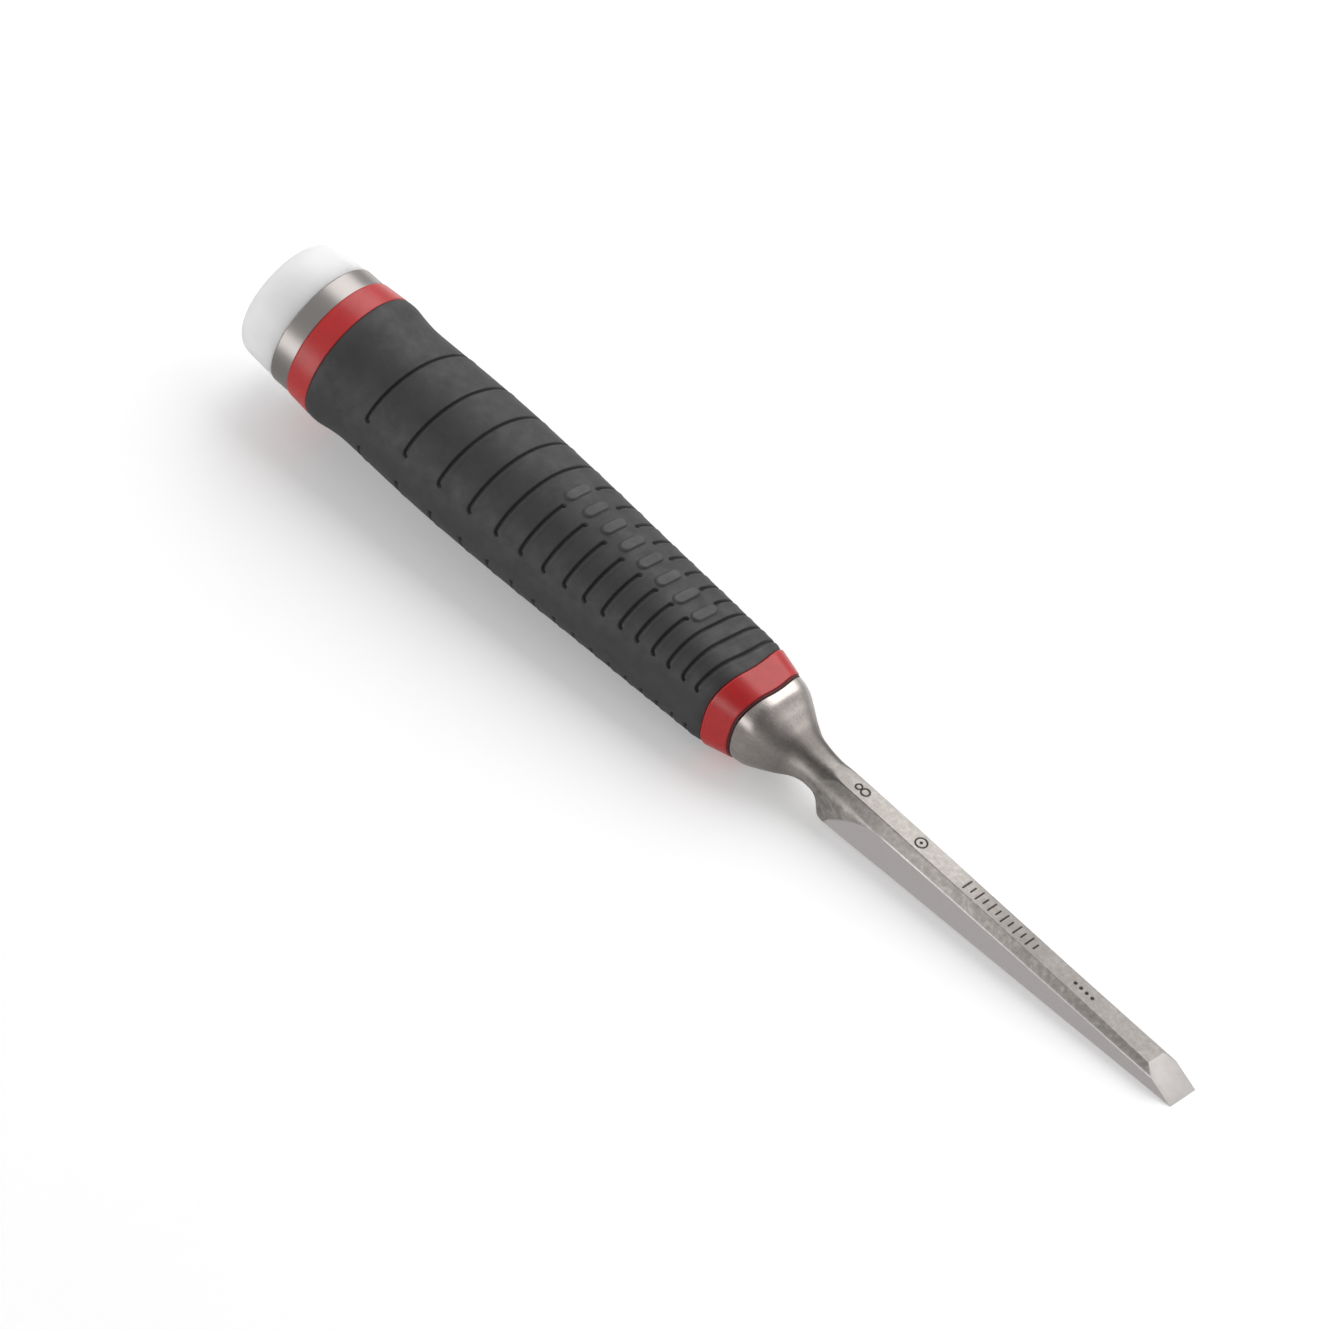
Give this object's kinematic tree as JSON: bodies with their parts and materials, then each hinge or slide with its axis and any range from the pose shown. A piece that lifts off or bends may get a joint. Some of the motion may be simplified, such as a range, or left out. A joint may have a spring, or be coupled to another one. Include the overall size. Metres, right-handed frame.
{
  "type": "striking chisel",
  "caption": "Bevel-edged striking chisel with a forged bolster, squared two-component grip, steel hoop and nylon strike cap.",
  "frame": {"origin": "centre of the flat strike face at the end of the nylon cap", "axes": "+X along the handle's axis towards the cutting edge, +Z out of the side that the blade's top face is on"},
  "size_m": [0.275, 0.0324, 0.0324],
  "materials": {
    "white_nylon": "satin, slightly translucent",
    "hoop_steel": "turned satin",
    "hidden_steel": "bright zinc plated",
    "red_plastic": "satin moulded",
    "black_grip": "matt, fine moulded texture",
    "dark_washer": "matt",
    "blade_steel": "forged and tumbled, sides, back and bevel ground"
  },
  "bodies": {
    "root": {"strike_cap": "white_nylon", "strike_hoop": "hoop_steel", "strike_plate": "hidden_steel", "tang_nut": "hidden_steel", "tang_washer": "hidden_steel", "handle_core": "red_plastic", "grip_sleeve": "black_grip", "bolster_washer": "dark_washer", "blade_forging": "blade_steel"}
  },
  "joints": []
}
